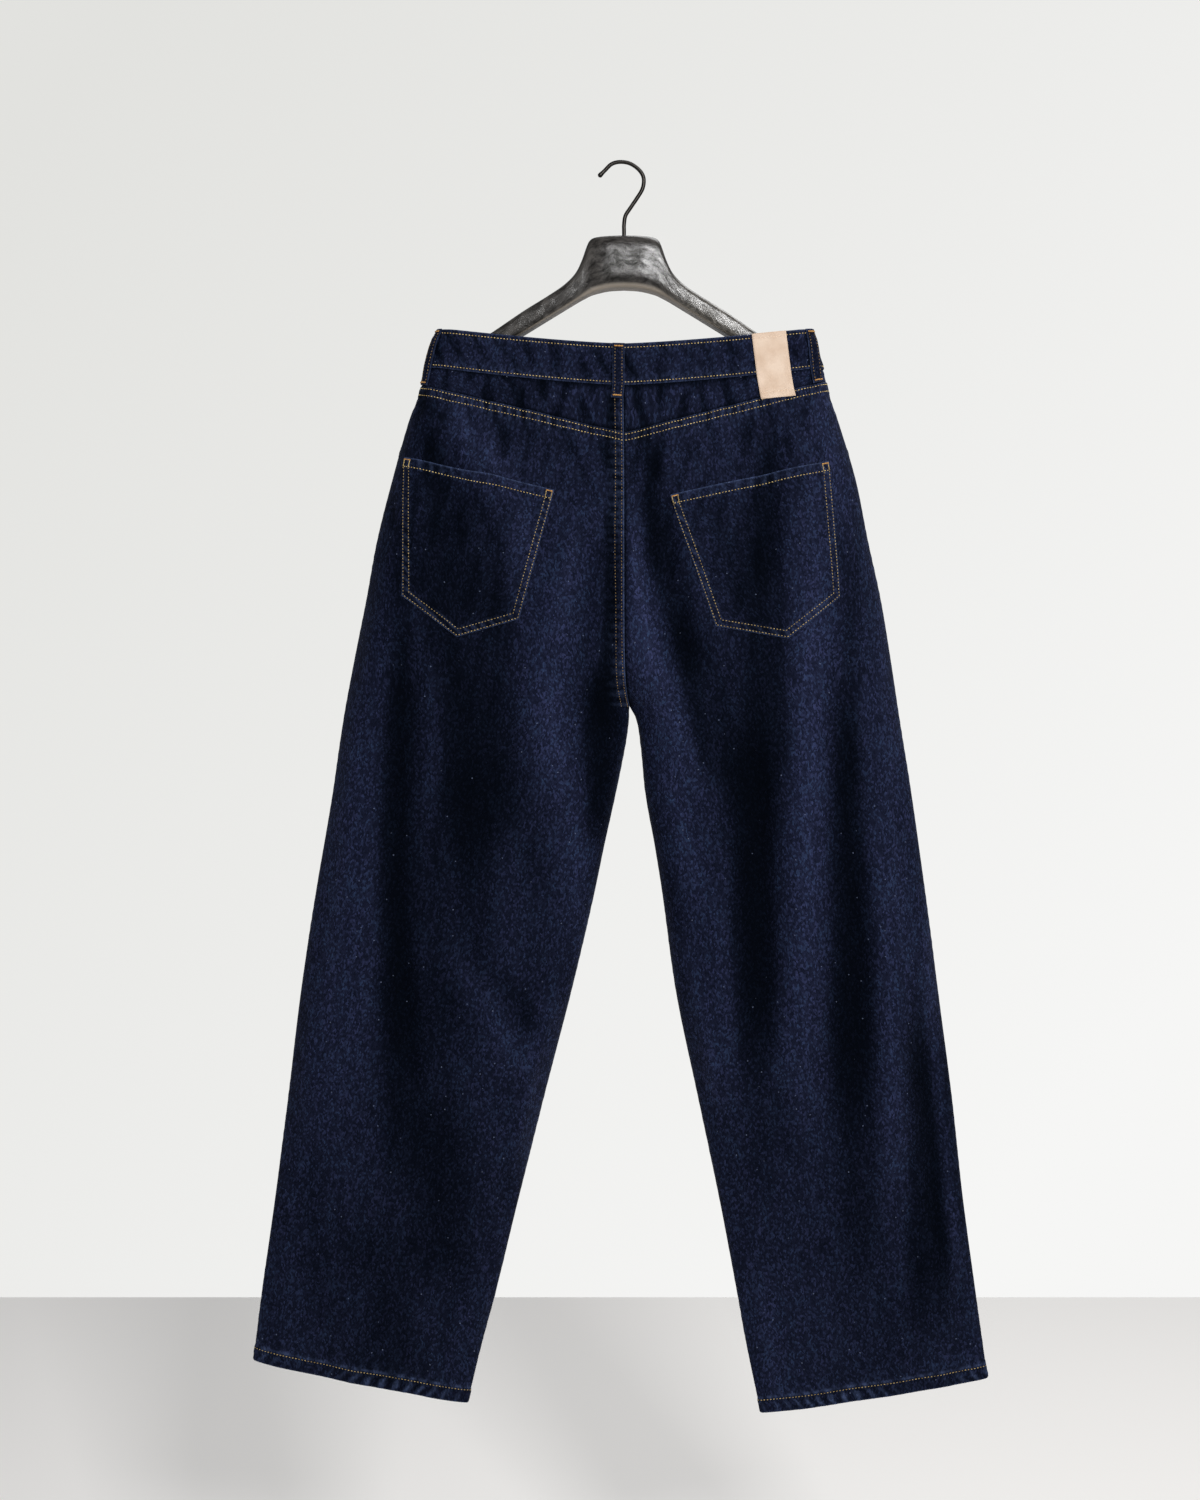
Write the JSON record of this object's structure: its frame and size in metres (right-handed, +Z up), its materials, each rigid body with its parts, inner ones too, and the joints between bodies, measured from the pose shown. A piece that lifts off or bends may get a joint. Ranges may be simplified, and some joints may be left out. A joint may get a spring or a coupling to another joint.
{
  "type": "baggy jeans on a wooden hanger",
  "caption": "Baggy straight-leg jeans of dark rinsed denim, hung by the waist over the arms of a dark contoured wooden hanger with a wire hook.",
  "frame": {"origin": "underside of the hook's crown, where the hanger hangs", "axes": "+Z up along the legs' length, +Y from the seat (back) of the jeans towards the front, +X towards the wearer's right"},
  "size_m": [0.7364, 0.1004, 1.2522],
  "materials": {
    "denim": "rinsed indigo twill",
    "leather": "vegetable-tanned, undyed",
    "brass": "antiqued",
    "wood": "charcoal stain, satin lacquer",
    "steel": "black nickel"
  },
  "bodies": {
    "root": {"waistband": "denim", "yoke_left": "denim", "yoke_right": "denim", "back_leg_left": "denim", "back_leg_right": "denim", "front_leg_left": "denim", "front_leg_right": "denim", "pocket_facing_left": "denim", "pocket_facing_right": "denim", "back_pocket_left": "denim", "back_pocket_right": "denim", "fly": "denim", "loop_centre_back": "denim", "loop_side_left": "denim", "loop_side_right": "denim", "loop_front_left": "denim", "loop_front_right": "denim", "leather_patch": "leather", "waist_button": "brass", "hanger_body": "wood", "hanger_hook": "steel"}
  },
  "joints": []
}
